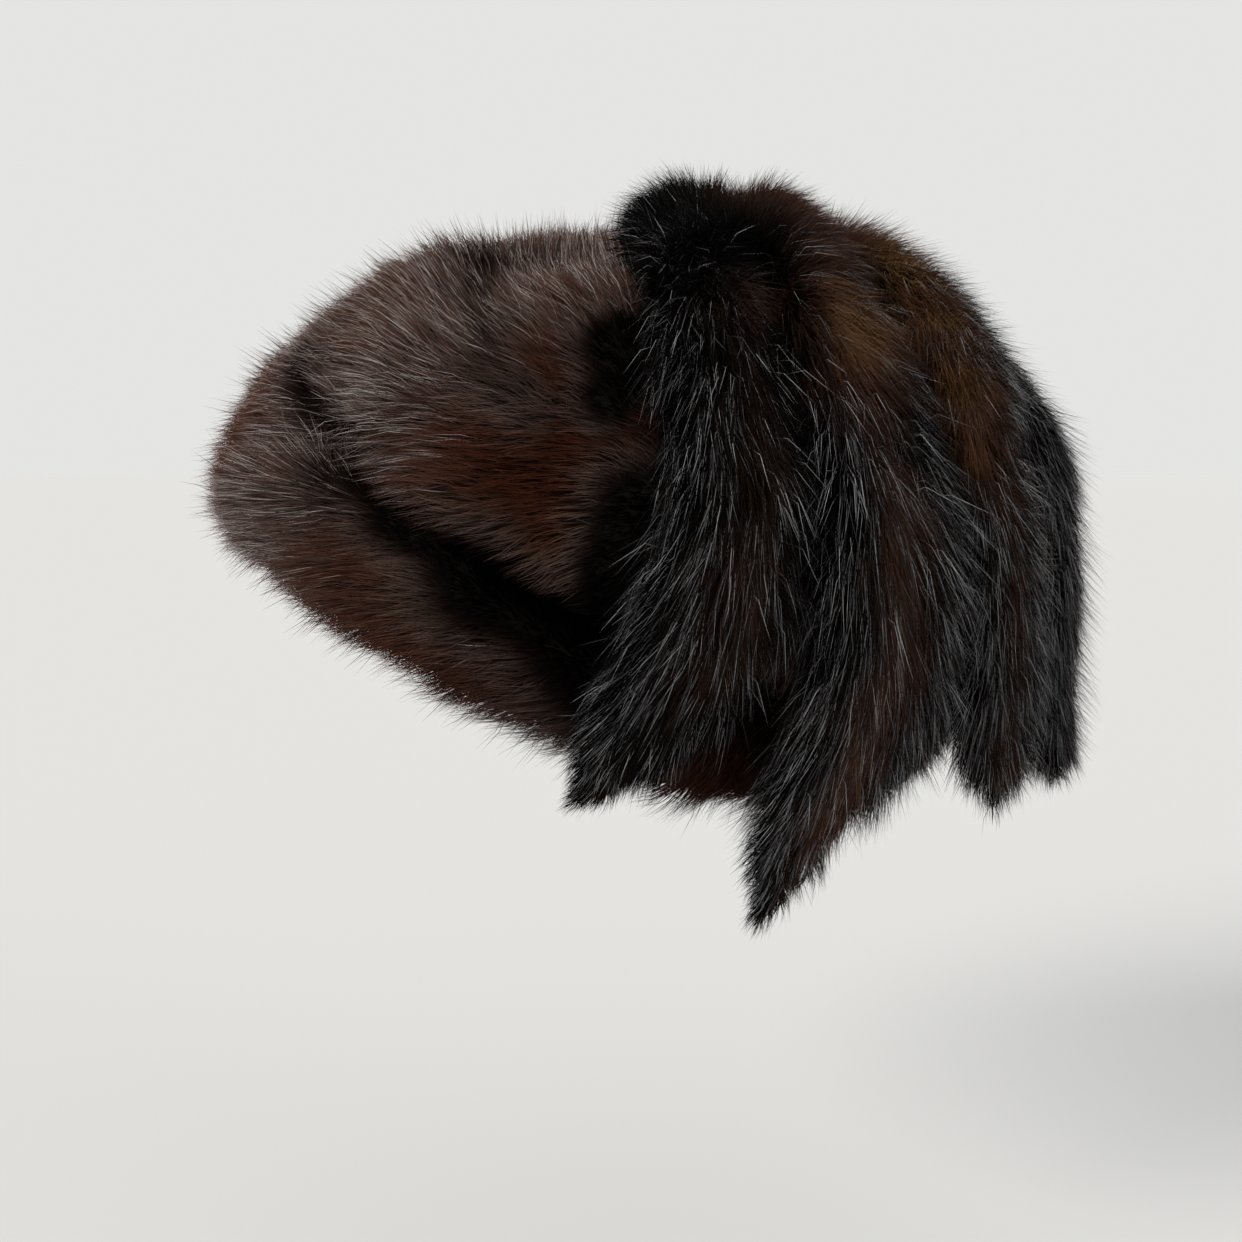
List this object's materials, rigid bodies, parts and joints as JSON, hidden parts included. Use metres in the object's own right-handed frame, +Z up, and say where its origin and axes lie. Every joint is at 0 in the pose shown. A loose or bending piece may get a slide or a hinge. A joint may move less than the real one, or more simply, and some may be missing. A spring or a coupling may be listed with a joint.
{
  "type": "fur hat with hanging tails",
  "caption": "Puffed fur hat with a draped crown, a padded fur roll round the head opening and fur tails that hang from its top over one side.",
  "frame": {"origin": "middle of the head opening, where a head holds the hat", "axes": "+X to the side and back of the hat where the tails hang, +Y away from the side with the tails in front, +Z up; the hat is tilted as it is worn in the picture"},
  "size_m": [0.342, 0.2857, 0.2594],
  "materials": {
    "crown_fur": "deep soft brown fur with paler guard hairs and chestnut underfur",
    "roll_fur": "deep soft brown fur combed along the roll",
    "tail_fur": "long near-black fur with grey guard hairs and golden brown underfur"
  },
  "bodies": {
    "root": {"brim_roll": "roll_fur", "crown": "crown_fur", "tail_1": "tail_fur", "tail_2": "tail_fur", "tail_3": "tail_fur", "tail_4": "tail_fur"}
  },
  "joints": []
}
